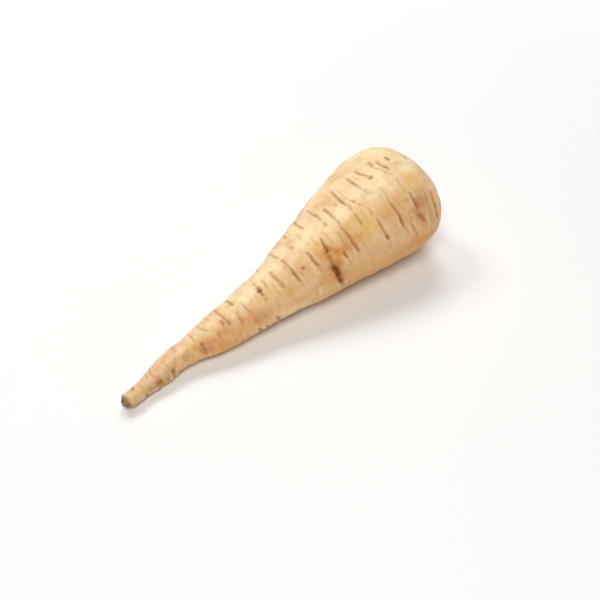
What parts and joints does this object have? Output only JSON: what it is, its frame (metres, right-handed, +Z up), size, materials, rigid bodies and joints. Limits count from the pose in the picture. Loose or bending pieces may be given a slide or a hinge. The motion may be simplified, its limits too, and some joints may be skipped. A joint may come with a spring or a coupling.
{
  "type": "parsnip",
  "caption": "Whole trimmed parsnip lying on its side: swollen shoulder, long tapering tail with a blunt broken tip, and a leaf-stalk scar sunk in the crown.",
  "frame": {"origin": "bottom centre of the root's bounding box, on the surface that the root lies on", "axes": "+X along the root from its tip to its crown, +Y across it, +Z up from the surface that it lies on"},
  "size_m": [0.2, 0.0625, 0.0549],
  "materials": {
    "parsnip_skin": "satin"
  },
  "bodies": {
    "root": {"parsnip_root": "parsnip_skin"}
  },
  "joints": []
}
